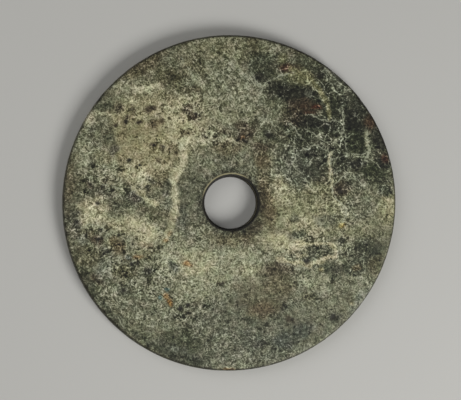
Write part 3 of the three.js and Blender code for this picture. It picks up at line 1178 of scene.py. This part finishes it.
    def mark(self, mesh: bpy.types.Mesh, points: np.ndarray) -> None:
        """Writes the stone's markings on the mesh, for the finish to read.

        Args:
            mesh: The ring's mesh.
            points: Its points in millimetres, one a row.
        """
        stone = self.stone
        seen = stone.seen_from_front(points, self.thickness)
        front = 1 - stone.plainer_back * self.raised(points, *self.plainer_part)
        near, side = stone.thread_fields(seen)
        radius = np.hypot(*points[:, :2].T)
        values = {
            "thread_near": near,
            "thread_side": side,
            "pit": np.clip(stone.pit_depth(seen) / stone.full_pit, 0, 1) * front,
            # painted shade on the rim and round the mouth, and painted highlights on the lip and in the
            # hole
            "painted_shade": self.painted_shade(points),
            "painted_highlight": self.painted_highlight(points),
            "bore": smooth(radius - self.mouth, *self.bore_finish),
            "scratched": stone.scratched.weight(seen) * front,
            "netted": np.clip(sum(patch.weight(seen) for patch in stone.netted), 0, 1),
            "speckled": stone.fewest_specks + sum(patch.weight(seen) for patch in stone.speckled),
            "lively": stone.lively(seen),
        }
        for name, value in values.items():
            attribute = mesh.attributes.new(name, "FLOAT", "POINT")
            attribute.data.foreach_set("value", value.astype(np.float32))
        colours = {"tone": stone.tone(seen, front), "stain": stone.stain(seen, front)}
        for name, colour in colours.items():
            attribute = mesh.attributes.new(name, "FLOAT_COLOR", "POINT")
            attribute.data.foreach_set("color", colour.astype(np.float32).ravel())

    def build(self, low: Vector, high: Vector) -> bpy.types.Object:
        """Makes the whole disc.

        Args:
            low: Lowest corner of the solid that the disc stands for, in metres.
            high: Its highest corner.

        Returns:
            The disc as an object at the origin.
        """
        ring = self.spin()
        mesh = bpy.data.meshes.new("jade_bi")
        ring.to_mesh(mesh)
        ring.free()
        points = np.empty(len(mesh.vertices) * 3)
        mesh.vertices.foreach_get("co", points)
        points = points.reshape(-1, 3)
        for work in (self.stretched, self.uneven, self.dished, self.pitted, self.chipped):
            points = work(points)
        points = np.clip(points, np.array(low) / MM, np.array(high) / MM)
        mesh.vertices.foreach_set("co", (points * MM).astype(np.float32).ravel())
        self.mark(mesh, points)
        mesh.polygons.foreach_set("use_smooth", np.ones(len(mesh.polygons), bool))
        mesh.update()
        piece = bpy.data.objects.new("jade_bi", mesh)
        bpy.context.scene.collection.objects.link(piece)
        return piece


def add(tree: bpy.types.NodeTree, kind: str, feeds: dict, **settings: Any) -> bpy.types.Node:
    """Adds a node to a tree, with its settings and links.

    Args:
        tree: The tree that gets the node.
        kind: The node's type.
        feeds: What each input gets, by its place or identifier. It is a value, a socket to link,
            or a node whose first output in use is linked.
        settings: Properties of the node itself.

    Returns:
        The new node.
    """
    node = tree.nodes.new(kind)
    for name, value in settings.items():
        setattr(node, name, value)
    for name, value in feeds.items():
        places = {key: socket for i, socket in enumerate(node.inputs) for key in (i, socket.identifier)}
        if isinstance(value, bpy.types.Node):
            value = next(socket for socket in value.outputs if socket.enabled)
        if isinstance(value, bpy.types.NodeSocket):
            tree.links.new(value, places[name])
        else:
            places[name].default_value = value
    return node


@dataclass(frozen=True)
class Nephrite:
    """Altered nephrite, ground flat with wet sand, polished by hand and long buried.

    To the eye it is a satin, opaque stone: a felt of pale fibres in a dark olive ground, chalky
    where it has altered most, dull in its pits, with a soft gloss on the high parts.
    """

    # A range named after the noise holds the two noise values between which something changes
    sway_mm: float = 7.0  # spacing of the bends in the pattern
    sway_reach_mm: float = 3.4  # how wide the bends are, from side to side
    finer_noise: float = 0.6  # strength of each finer layer, as a share of the one before
    usual_noise: Pair = (0.3, 0.7)  # most of the noise lies between these
    # Each net of strands has the size of its meshes, a strand's half-width and a strength
    strands: Waves = ((6.5, 0.5, 1.15), (3.4, 0.4, 0.85))
    strand_share: Pair = (0.35, 1.4)  # how strong they are outside the netted areas and in them
    netted_drop: float = 0.5  # how much darker the felt between strands is in the netted areas
    strand_gap_size: float = 1.2  # spacing of the gaps in a strand, as a share of the mesh
    strand_gap_noise: Pair = (0.42, 0.6)
    fibre_turns: tuple[float, ...] = (15, 75, 135)  # directions of the layers of fibres
    fibre_mm: float = 0.95
    fibre_length: float = 3.5  # how much longer than wide fibres are
    fibre_steps: Pair = (-1.708, 0.732)  # the felt between fibres and on them
    no_fibre: float = -9.0  # less than any fibre gives
    patchy: Pair = (0.7, 1.3)  # how strong fibres are where they lie thin and thick
    patchy_mm: float = 8.0
    patchy_noise: Pair = (0.35, 0.65)
    # Each layer of mottling has a spacing, a strength and how fine it goes
    mottles: Waves = ((9.0, 0.12, 2.0), (3.0, 0.36, 1.0), (1.3, 0.45, 1.0), (0.8, 0.4, 0.0))
    # Each layer of dark specks has a spacing, where in the noise they start and a strength
    specks: Waves = ((4.6, 0.38, 1.2), (2.6, 0.38, 1.0))
    speck_edge: float = 0.05  # how much noise a speck's edge takes up
    level: float = 0.02  # what the felt lies at between strands
    levelling: float = 0.6  # how soon the felt levels off
    stops_a_step: float = 1.42  # how much light one step of the felt gains, in doublings
    tint_a_step: float = 0.5  # how much paler the hue gets with it
    hue_mm: float = 6.0  # spacing of the hue's drift
    hue_spread: float = 0.2  # how far each colour drifts, as a share
    middle_stop: float = -3.2  # how light the stone is where it is as pale as it is dark
    paler_a_stop: float = 0.25  # how much the felt shifts with the stone's lightness
    kept_shift: float = 0.85  # share of that shift that the levelled felt is centred on
    # Grinding scratches
    scratch_deg: float = -52
    scratch_length: float = 8  # how much longer than wide they are
    scratch_mm: float = 1.0
    scratch_share: Pair = (0.5, 2.8)  # how strong they are elsewhere and where the disc is marked
    # Threads; their ranges are in half-widths of the thread
    haze: float = 0.4  # how much the felt thickens along them
    haze_reach: Pair = (6.0, 0.5)
    thread_bend_mm: float = 3.2  # spacing of their bends
    thread_bend: float = 2.8  # how far the bends reach to each side
    thread_edge: Pair = (1.0, 0.1)
    thread_reach: Pair = (6.0, 2.5)  # where a bent thread ends at last
    thread_gap_mm: float = 2.2
    thread_gap_noise: Pair = (0.36, 0.6)
    thread_strength: float = 0.95
    # Gloss and relief
    felt_steps: Pair = (-1.5, 1.5)  # dark and pale felt, for the roughness
    roughness: Pair = (0.68, 0.48)
    drill_mm: float = 3.0  # spacing of the rings that the drill left
    felt_relief: float = 0.25  # how much of the relief one step of the felt has
    relief_mm: float = 0.25  # height of the bump
    ior: float = 1.61
    pale: str = "aaad93"
    dark: str = "1e1c12"
    # colours of the painted shade on the rim and round the mouth, and of the painted highlights on the
    # lip and in the hole
    shade_colour: str = "1c1912"
    highlight_colour: str = "a8a07a"

    def swayed(self, tree: bpy.types.NodeTree, place: bpy.types.NodeSocket) -> bpy.types.Node:
        """Bends the pattern's space, so that nothing in it runs straight.

        Args:
            tree: The material's tree.
            place: Where on the stone, in metres.

        Returns:
            The bent place.
        """
        sway = add(
            tree, "ShaderNodeTexNoise",
            {"Vector": place, "Scale": per_mm(self.sway_mm), "Detail": 3.0},
        )
        centred = add(
            tree, "ShaderNodeVectorMath", {0: sway.outputs["Color"], 1: (NOISE_MIDDLE,) * 3},
            operation="SUBTRACT",
        )
        return add(
            tree, "ShaderNodeVectorMath", {0: centred, 1: (self.sway_reach_mm * MM,) * 3, 2: place},
            operation="MULTIPLY_ADD",
        )

    def wave(
        self,
        tree: bpy.types.NodeTree,
        place: Any,
        spacing: float,
        detail: float,
        noises: Pair,
        gives: Pair,
    ) -> bpy.types.Node:
        """Makes smooth noise and scales it.

        Args:
            tree: The material's tree.
            place: Where on the stone, in metres.
            spacing: Size of its largest cells in millimetres.
            detail: How many finer layers it has.
            noises: Two values of the noise.
            gives: What the node gives at those two.

        Returns:
            The scaled noise.
        """
        texture = add(
            tree, "ShaderNodeTexNoise",
            {
                "Vector": place,
                "Scale": per_mm(spacing),
                "Detail": detail,
                "Roughness": self.finer_noise,
            },
        )
        start, end = noises
        low, high = gives
        return add(tree, "ShaderNodeMapRange", {0: texture, 1: start, 2: end, 3: low, 4: high})

    def felt(self, tree: bpy.types.NodeTree, place: bpy.types.Node) -> bpy.types.Node:
        """Weaves the felt of pale strands, fibres and mottling.

        Args:
            tree: The material's tree.
            place: Where on the stone, in metres, bent.

        Returns:
            The felt, centred on 0 and mostly within 2 steps of it.
        """
        netted = add(tree, "ShaderNodeAttribute", {}, attribute_name="netted").outputs["Fac"]
        lively = add(tree, "ShaderNodeAttribute", {}, attribute_name="lively").outputs["Fac"]
        fewer, more = self.strand_share
        strong = add(tree, "ShaderNodeMapRange", {0: netted, 3: fewer, 4: more})
        total = add(
            tree, "ShaderNodeMapRange", {0: netted, 3: self.level, 4: self.level - self.netted_drop}
        )
        for spacing, width, strength in self.strands:
            cells = add(
                tree, "ShaderNodeTexVoronoi", {"Vector": place, "Scale": per_mm(spacing)},
                feature="DISTANCE_TO_EDGE",
            )
            strand = add(
                tree, "ShaderNodeMapRange", {0: cells, 1: width / spacing, 2: 0.0, 3: 0.0, 4: strength}
            )
            gap_mm = spacing * self.strand_gap_size
            broken = self.wave(
                tree, place, gap_mm, detail=2, noises=self.strand_gap_noise, gives=(0.0, 1.0)
            )
            share = add(tree, "ShaderNodeMath", {0: strong, 1: broken}, operation="MULTIPLY")
            total = add(
                tree, "ShaderNodeMath", {0: strand, 1: share, 2: total}, operation="MULTIPLY_ADD"
            )
        vivid = self.wave(
            tree, place, self.patchy_mm, detail=2, noises=self.patchy_noise, gives=self.patchy
        )
        top: Any = self.no_fibre
        for turn in self.fibre_turns:
            turned = add(
                tree, "ShaderNodeMapping",
                {
                    "Vector": place,
                    "Rotation": (0, 0, math.radians(turn)),
                    "Scale": (self.fibre_length, 1, 1),
                },
                vector_type="TEXTURE",
            )
            fibre = self.wave(
                tree, turned, self.fibre_mm, detail=1, noises=self.usual_noise, gives=self.fibre_steps
            )
            top = add(tree, "ShaderNodeMath", {0: top, 1: fibre}, operation="MAXIMUM")
        total = add(tree, "ShaderNodeMath", {0: top, 1: vivid, 2: total}, operation="MULTIPLY_ADD")
        for spacing, strength, detail in self.mottles:
            mottle = self.wave(tree, place, spacing, detail, self.usual_noise, (-strength, strength))
            total = add(tree, "ShaderNodeMath", {0: total, 1: mottle}, operation="ADD")
        return add(tree, "ShaderNodeMath", {0: total, 1: lively}, operation="MULTIPLY")

    def specked(self, tree: bpy.types.NodeTree, place: Any, felt: Any) -> bpy.types.Node:
        """Scatters the small dark specks over the felt.

        Args:
            tree: The material's tree.
            place: Where on the stone, in metres, bent.
            felt: The felt that they lie on.

        Returns:
            The felt with its specks.
        """
        crowded = add(tree, "ShaderNodeAttribute", {}, attribute_name="speckled").outputs["Fac"]
        total = felt
        for spacing, edge, strength in self.specks:
            noises = (edge, edge - self.speck_edge)
            speck = self.wave(tree, place, spacing, detail=2, noises=noises, gives=(0.0, -strength))
            total = add(
                tree, "ShaderNodeMath", {0: speck, 1: crowded, 2: total}, operation="MULTIPLY_ADD"
            )
        return total

    def saturated(self, tree: bpy.types.NodeTree, felt: Any, stone: Any) -> bpy.types.Node:
        """Levels the felt off, at its pale end in pale stone and at its dark end in dark stone.

        Args:
            tree: The material's tree.
            felt: The felt as it is woven.
            stone: Colour of the stone under it.

        Returns:
            The felt between about -1.6 and 1.6, centred on 0.
        """
        light = add(tree, "ShaderNodeRGBToBW", {0: stone})
        stop = add(tree, "ShaderNodeMath", {0: light, 1: DOUBLING}, operation="LOGARITHM")
        above = add(tree, "ShaderNodeMath", {0: stop, 1: self.middle_stop}, operation="SUBTRACT")
        paler = add(tree, "ShaderNodeMath", {0: above, 1: self.paler_a_stop}, operation="MULTIPLY")
        eased = add(
            tree, "ShaderNodeMath", {0: felt, 1: self.levelling, 2: paler}, operation="MULTIPLY_ADD"
        )
        levelled = add(tree, "ShaderNodeMath", {0: eased}, operation="TANH")
        usual = add(tree, "ShaderNodeMath", {0: paler, 1: self.kept_shift}, operation="MULTIPLY")
        usual = add(tree, "ShaderNodeMath", {0: usual}, operation="TANH")
        return add(tree, "ShaderNodeMath", {0: levelled, 1: usual}, operation="SUBTRACT")

    def scratches(self, tree: bpy.types.NodeTree, place: bpy.types.NodeSocket) -> bpy.types.Node:
        """Draws the fine parallel grinding scratches, stronger where the disc is marked.

        Args:
            tree: The material's tree.
            place: Where on the stone, in metres.

        Returns:
            A texture centred on 0.
        """
        turned = add(
            tree, "ShaderNodeMapping",
            {
                "Vector": place,
                "Rotation": (0, 0, math.radians(self.scratch_deg)),
                "Scale": (self.scratch_length, 1, 1),
            },
            vector_type="TEXTURE",
        )
        line = add(
            tree, "ShaderNodeTexNoise",
            {"Vector": turned, "Scale": per_mm(self.scratch_mm), "Detail": 1.5},
        )
        marked = add(tree, "ShaderNodeAttribute", {}, attribute_name="scratched").outputs["Fac"]
        off = add(tree, "ShaderNodeMath", {0: line, 1: NOISE_MIDDLE}, operation="SUBTRACT")
        faint, strong = self.scratch_share
        share = add(tree, "ShaderNodeMapRange", {0: marked, 3: faint, 4: strong})
        return add(tree, "ShaderNodeMath", {0: off, 1: share}, operation="MULTIPLY")

    def threads(
        self, tree: bpy.types.NodeTree, place: bpy.types.NodeSocket, near: Any
    ) -> bpy.types.Node:
        """Draws the threads.

        Args:
            tree: The material's tree.
            place: Where on the stone, in metres.
            near: How far the nearest thread is, in its half-widths.

        Returns:
            How much thread there is, from 0 to 1.
        """
        side = add(tree, "ShaderNodeAttribute", {}, attribute_name="thread_side").outputs["Fac"]
        wander = add(
            tree, "ShaderNodeTexNoise",
            {"Vector": place, "Scale": per_mm(self.thread_bend_mm), "Detail": 3.0},
        )
        bend = add(tree, "ShaderNodeMapRange", {0: wander, 3: -self.thread_bend, 4: self.thread_bend})
        bent = add(tree, "ShaderNodeMath", {0: side, 1: bend}, operation="ADD")
        gap = add(tree, "ShaderNodeMath", {0: bent}, operation="ABSOLUTE")
        outer, inner = self.thread_edge
        line = add(
            tree, "ShaderNodeMapRange", {0: gap, 1: outer, 2: inner}, interpolation_type="SMOOTHSTEP"
        )
        outer, inner = self.thread_reach
        gate = add(
            tree, "ShaderNodeMapRange", {0: near, 1: outer, 2: inner}, interpolation_type="SMOOTHSTEP"
        )
        broken = add(
            tree, "ShaderNodeTexNoise",
            {"Vector": place, "Scale": per_mm(self.thread_gap_mm), "Detail": 3.0},
        )
        lost, whole = self.thread_gap_noise
        kept = add(
            tree, "ShaderNodeMapRange", {0: broken, 1: lost, 2: whole, 3: 0.0, 4: self.thread_strength}
        )
        drawn = add(tree, "ShaderNodeMath", {0: line, 1: gate}, operation="MULTIPLY")
        return add(tree, "ShaderNodeMath", {0: drawn, 1: kept}, operation="MULTIPLY")

    def material(self) -> bpy.types.Material:
        """Makes the finish.

        Returns:
            The material.
        """
        material = bpy.data.materials.new("altered_nephrite")
        material.use_nodes = True
        tree = material.node_tree
        tree.nodes.clear()
        place = add(tree, "ShaderNodeTexCoord", {}).outputs["Object"]
        tone = add(tree, "ShaderNodeAttribute", {}, attribute_name="tone").outputs["Color"]
        stain = add(tree, "ShaderNodeAttribute", {}, attribute_name="stain")
        near, pit, painted_shade, painted_highlight, bore = (
            add(tree, "ShaderNodeAttribute", {}, attribute_name=name).outputs["Fac"]
            for name in ("thread_near", "pit", "painted_shade", "painted_highlight", "bore")
        )
        bent = self.swayed(tree, place)
        felt = self.felt(tree, bent)
        outer, inner = self.haze_reach
        haze = add(
            tree, "ShaderNodeMapRange", {0: near, 1: outer, 2: inner, 3: 0.0, 4: self.haze},
            interpolation_type="SMOOTHSTEP",
        )
        hazy = add(tree, "ShaderNodeMath", {0: felt, 1: haze}, operation="ADD")
        scratched = add(
            tree, "ShaderNodeMath", {0: hazy, 1: self.scratches(tree, place)}, operation="ADD"
        )
        stained = add(
            tree, "ShaderNodeMix",
            {
                "Factor_Float": stain.outputs["Alpha"],
                "A_Color": tone,
                "B_Color": stain.outputs["Color"],
            },
            data_type="RGBA",
        )
        levelled = self.saturated(tree, scratched, stained)
        steps = self.specked(tree, bent, levelled)
        exponent = add(
            tree, "ShaderNodeMath", {0: steps, 1: -self.tint_a_step, 2: 1.0}, operation="MULTIPLY_ADD"
        )
        tinted = add(tree, "ShaderNodeGamma", {0: stained, 1: exponent})
        doublings = add(
            tree, "ShaderNodeMath", {0: steps, 1: self.stops_a_step}, operation="MULTIPLY"
        )
        gain = add(tree, "ShaderNodeMath", {0: DOUBLING, 1: doublings}, operation="POWER")
        gained = add(tree, "ShaderNodeVectorMath", {0: tinted, "Scale": gain}, operation="SCALE")
        hues = add(
            tree, "ShaderNodeTexNoise", {"Vector": bent, "Scale": per_mm(self.hue_mm), "Detail": 2.0}
        )
        lowest = 1 - NOISE_MIDDLE * self.hue_spread
        hue = add(
            tree, "ShaderNodeVectorMath",
            {0: hues.outputs["Color"], 1: (self.hue_spread,) * 3, 2: (lowest,) * 3},
            operation="MULTIPLY_ADD",
        )
        colour = add(tree, "ShaderNodeVectorMath", {0: gained, 1: hue}, operation="MULTIPLY")
        drawn = self.threads(tree, place, near)
        # threads and pits are the stone's own; the last two layers are painted shade on the rim and
        # round the mouth and painted highlights on the lip and in the hole
        layers = ((drawn, self.pale), (pit, self.dark), (painted_shade, self.shade_colour), (painted_highlight, self.highlight_colour))
        for share, over in layers:
            colour = add(
                tree, "ShaderNodeMix",
                {"Factor_Float": share, "A_Color": colour, "B_Color": rgba(over)},
                data_type="RGBA",
            )
        dark, pale = self.felt_steps
        dull, glossy = self.roughness
        rough = add(tree, "ShaderNodeMapRange", {0: steps, 1: dark, 2: pale, 3: dull, 4: glossy})
        rings = add(
            tree, "ShaderNodeTexWave",
            {"Vector": place, "Scale": per_mm(self.drill_mm), "Distortion": 1.5, "Detail": 2.0},
            wave_type="BANDS", bands_direction="Z",
        )
        drilled = add(tree, "ShaderNodeMath", {0: rings, 1: bore}, operation="MULTIPLY")
        relief = add(
            tree, "ShaderNodeMath", {0: steps, 1: self.felt_relief, 2: drilled},
            operation="MULTIPLY_ADD",
        )
        bump = add(
            tree, "ShaderNodeBump",
            {"Height": relief, "Strength": 0.35, "Distance": self.relief_mm * MM},
        )
        shader = add(
            tree, "ShaderNodeBsdfPrincipled",
            {
                "Base Color": colour,
                "Roughness": rough,
                "IOR": self.ior,
                "Specular IOR Level": 0.25,
                "Normal": bump,
            },
        )
        add(tree, "ShaderNodeOutputMaterial", {"Surface": shader})
        return material


@dataclass(frozen=True)
class Lamp:
    """A soft lamp: its name, place, width of its square face, and power in watts."""

    name: str
    place: tuple[float, float, float]
    size: float
    power: float


@dataclass
class Studio:
    """A plain pale floor, soft lights and the camera that looks down on the disc, in metres."""

    picture: tuple[int, int] = (461, 400)
    outline_px: float = 335.3  # how wide the disc is in the picture
    centre_px: Pair = (230.6, 202.9)  # where its rim is centred
    tilt_deg: float = 5.5  # how far the camera stands to the left of straight above
    lens_mm: float = 100
    sensor_mm: float = 36
    floor_colour: str = "c9c8c3"
    floor_roughness: float = 0.9
    floor_size: float = 6.0
    lamps: tuple[Lamp, ...] = (
        Lamp("key", (0.75, -0.8, 1.0), 0.7, 15.5),
        Lamp("fill", (-0.9, 0.5, 1.1), 1.2, 6),
    )
    room_light: float = 0.15

    def lay_floor(self) -> None:
        """Lays the floor that the disc rests on."""
        ground = bmesh.new()
        bmesh.ops.create_grid(ground, x_segments=1, y_segments=1, size=self.floor_size / 2)
        mesh = bpy.data.meshes.new("floor")
        ground.to_mesh(mesh)
        ground.free()
        material = bpy.data.materials.new("matt_paint")
        material.use_nodes = True
        shader = material.node_tree.nodes["Principled BSDF"]
        shader.inputs["Base Color"].default_value = rgba(self.floor_colour)
        shader.inputs["Roughness"].default_value = self.floor_roughness
        mesh.materials.append(material)
        floor = bpy.data.objects.new("floor", mesh)
        bpy.context.scene.collection.objects.link(floor)

    def hang(self, lamp: Lamp, aim: Vector) -> None:
        """Hangs a lamp that points at the disc.

        Args:
            lamp: What is hung.
            aim: What it points at.
        """
        light = bpy.data.lights.new(lamp.name, "AREA")
        light.size = lamp.size
        light.energy = lamp.power
        piece = bpy.data.objects.new(lamp.name, light)
        piece.location = lamp.place
        piece.rotation_euler = (aim - Vector(lamp.place)).to_track_quat("-Z", "Y").to_euler()
        bpy.context.scene.collection.objects.link(piece)

    def light(self, middle: Vector) -> None:
        """Sets the lamps and the even light of the room.

        Args:
            middle: The middle of the disc, in metres.
        """
        for lamp in self.lamps:
            self.hang(lamp, middle)
        world = bpy.data.worlds.new("room")
        world.use_nodes = True
        sky = world.node_tree.nodes["Background"]
        sky.inputs["Color"].default_value = (1, 1, 1, 1)
        sky.inputs["Strength"].default_value = self.room_light
        bpy.context.scene.world = world
        bpy.context.scene.view_settings.view_transform = "Standard"

    def aim(self, diameter: float, rim_height: float) -> None:
        """Places the camera so that the disc fills the picture as in the photograph.

        Args:
            diameter: The disc's diameter, in metres.
            rim_height: Height of the widest part of its rim, in metres.
        """
        width, height = self.picture
        metres_a_px = diameter / self.outline_px
        distance = metres_a_px * width * self.lens_mm / self.sensor_mm
        turn = Euler((0, -math.radians(self.tilt_deg), 0))
        right, up, back = (Vector(axis) for axis in turn.to_matrix().transposed())
        shift_x = (width / 2 - self.centre_px[0]) * metres_a_px
        shift_y = (self.centre_px[1] - height / 2) * metres_a_px
        camera = bpy.data.cameras.new("camera")
        camera.lens = self.lens_mm
        camera.sensor_width = self.sensor_mm
        piece = bpy.data.objects.new("camera", camera)
        piece.location = Vector((0, 0, rim_height)) + right * shift_x + up * shift_y + back * distance
        piece.rotation_euler = turn
        bpy.context.scene.collection.objects.link(piece)
        bpy.context.scene.camera = piece


def main() -> None:
    logging.basicConfig(level=logging.INFO, format="%(name)s: %(message)s")
    noise.seed_set(NOISE_SEED)
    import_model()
    low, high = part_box(NODE)
    size = high - low

    ring = Ring(diameter=(size.x + size.y) / 2 / MM, thickness=size.z / MM)
    piece = ring.build(low, high)
    piece.data.materials.append(Nephrite().material())
    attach(piece, "root")
    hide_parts(NODE)
    LOG.info("%s: %d vertices", piece.name, len(piece.data.vertices))

    studio = Studio()
    studio.lay_floor()
    studio.light((low + high) / 2)
    studio.aim((size.x + size.y) / 2, size.z * RIM_MIDDLE)


if __name__ == "__main__":
    main()
